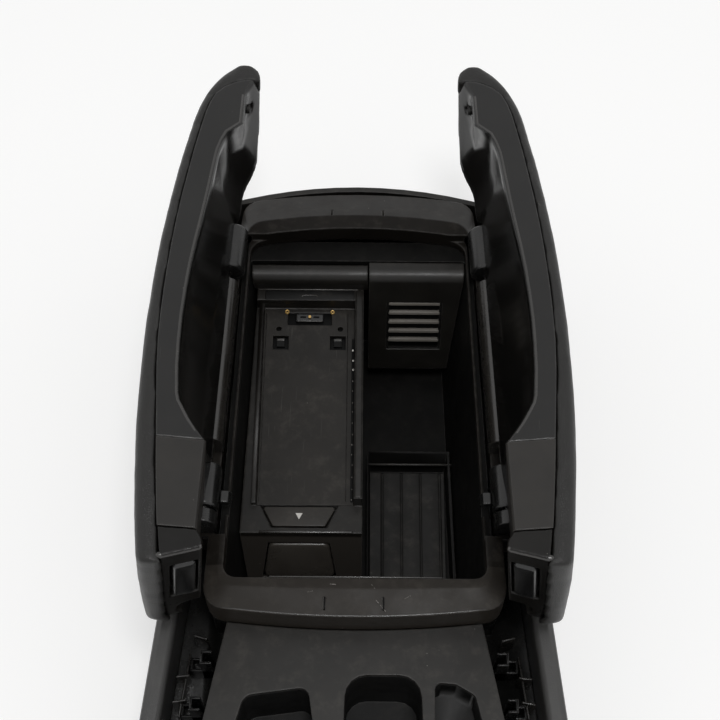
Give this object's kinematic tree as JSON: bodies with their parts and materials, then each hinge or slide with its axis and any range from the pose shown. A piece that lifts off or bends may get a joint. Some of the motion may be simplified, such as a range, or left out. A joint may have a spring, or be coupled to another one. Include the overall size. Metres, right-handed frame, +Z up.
{
  "type": "center console armrest",
  "caption": "Rear end of a car centre console: twin side-hinged leather armrest lids, opened over a storage tub with a phone cradle, a vent panel and a ribbed mat.",
  "frame": {"origin": "middle of the console's flat base, in its plane of symmetry", "axes": "+Z up, +Y toward the rear of the car, +X toward the right-hand side of the car"},
  "size_m": [0.2802, 0.4765, 0.2584],
  "materials": {
    "moulded_plastic": "finely textured",
    "soft_touch_plastic": "soft matte",
    "leather": "fine grain, rubbed at the edges",
    "gloss_plastic": "glossy",
    "rubber_mat": "matte",
    "steel": "turned",
    "contact_metal": "plated"
  },
  "bodies": {
    "console": {"rim_frame": "moulded_plastic", "storage_tub": "soft_touch_plastic", "mat_tray": "moulded_plastic", "ribbed_mat": "rubber_mat", "vent_panel": "soft_touch_plastic", "vent_grille": "moulded_plastic", "cradle_housing": "soft_touch_plastic", "cradle_plate": "moulded_plastic", "cradle_hood": "soft_touch_plastic", "connector_block": "gloss_plastic", "connector_pin": "contact_metal", "antenna_contact_left": "contact_metal", "antenna_contact_right": "contact_metal", "locking_hook_left": "moulded_plastic", "locking_hook_right": "moulded_plastic", "front_deck": "soft_touch_plastic", "left_well": "moulded_plastic", "centre_well": "moulded_plastic", "right_well": "moulded_plastic", "carrier": "moulded_plastic", "gutter_clip_left_1": "moulded_plastic", "gutter_clip_left_2": "moulded_plastic", "gutter_clip_left_3": "moulded_plastic", "gutter_clip_right_1": "moulded_plastic", "gutter_clip_right_2": "moulded_plastic", "gutter_clip_right_3": "moulded_plastic", "side_panel_left": "leather", "side_panel_right": "leather", "rear_panel": "soft_touch_plastic", "front_panel": "moulded_plastic", "hinge_rail_left": "moulded_plastic", "hinge_rail_right": "moulded_plastic", "hinge_post_left": "moulded_plastic", "hinge_post_right": "moulded_plastic", "hinge_pin_left": "steel", "hinge_pin_right": "steel"},
    "left_lid": {"lid_shell_left": "soft_touch_plastic", "lid_inner_panel_left": "soft_touch_plastic", "lid_end_cap_left": "soft_touch_plastic", "lid_cover_left": "leather", "hinge_barrel_front_left": "moulded_plastic", "hinge_barrel_rear_left": "moulded_plastic", "stop_hook_left": "moulded_plastic", "lid_bumper_left": "rubber_mat"},
    "right_lid": {"lid_shell_right": "soft_touch_plastic", "lid_inner_panel_right": "soft_touch_plastic", "lid_end_cap_right": "soft_touch_plastic", "lid_cover_right": "leather", "hinge_barrel_front_right": "moulded_plastic", "hinge_barrel_rear_right": "moulded_plastic", "stop_hook_right": "moulded_plastic", "lid_bumper_right": "rubber_mat"},
    "left_push_button": {"lid_button_left": "gloss_plastic"},
    "right_push_button": {"lid_button_right": "gloss_plastic"},
    "cradle_button": {"release_button": "moulded_plastic"},
    "cradle_flap": {"latch_flap": "moulded_plastic"}
  },
  "joints": [
    {"name": "left_lid_hinge", "type": "hinge", "parent": "console", "child": "left_lid", "pos_m": [-0.0995, -0.0985, 0.156], "axis": [0.0384, 0.9993, 0], "range_deg": [0, 84]},
    {"name": "right_lid_hinge", "type": "hinge", "parent": "console", "child": "right_lid", "pos_m": [0.0995, -0.0985, 0.156], "axis": [0.0384, -0.9993, 0], "range_deg": [0, 84]},
    {"name": "left_button_slide", "type": "slide", "parent": "left_lid", "child": "left_push_button", "axis": [-0.275, 0.9609, 0.0328], "range_m": [0, 0.003], "stiffness_N_per_m": 800},
    {"name": "right_button_slide", "type": "slide", "parent": "right_lid", "child": "right_push_button", "axis": [0.275, 0.9609, 0.0328], "range_m": [0, 0.003], "stiffness_N_per_m": 800},
    {"name": "cradle_button_slide", "type": "slide", "parent": "console", "child": "cradle_button", "axis": [0, 0.9074, -0.4204], "range_m": [0, 0.003], "stiffness_N_per_m": 800},
    {"name": "cradle_flap_hinge", "type": "hinge", "parent": "console", "child": "cradle_flap", "pos_m": [-0.03845, -0.0469, 0.1028], "axis": [-1, 0, 0], "range_deg": [0, 10]}
  ],
  "couplings": [
    {"joint": "cradle_flap_hinge", "follows": "cradle_button_slide", "rad_per_m": 58}
  ]
}
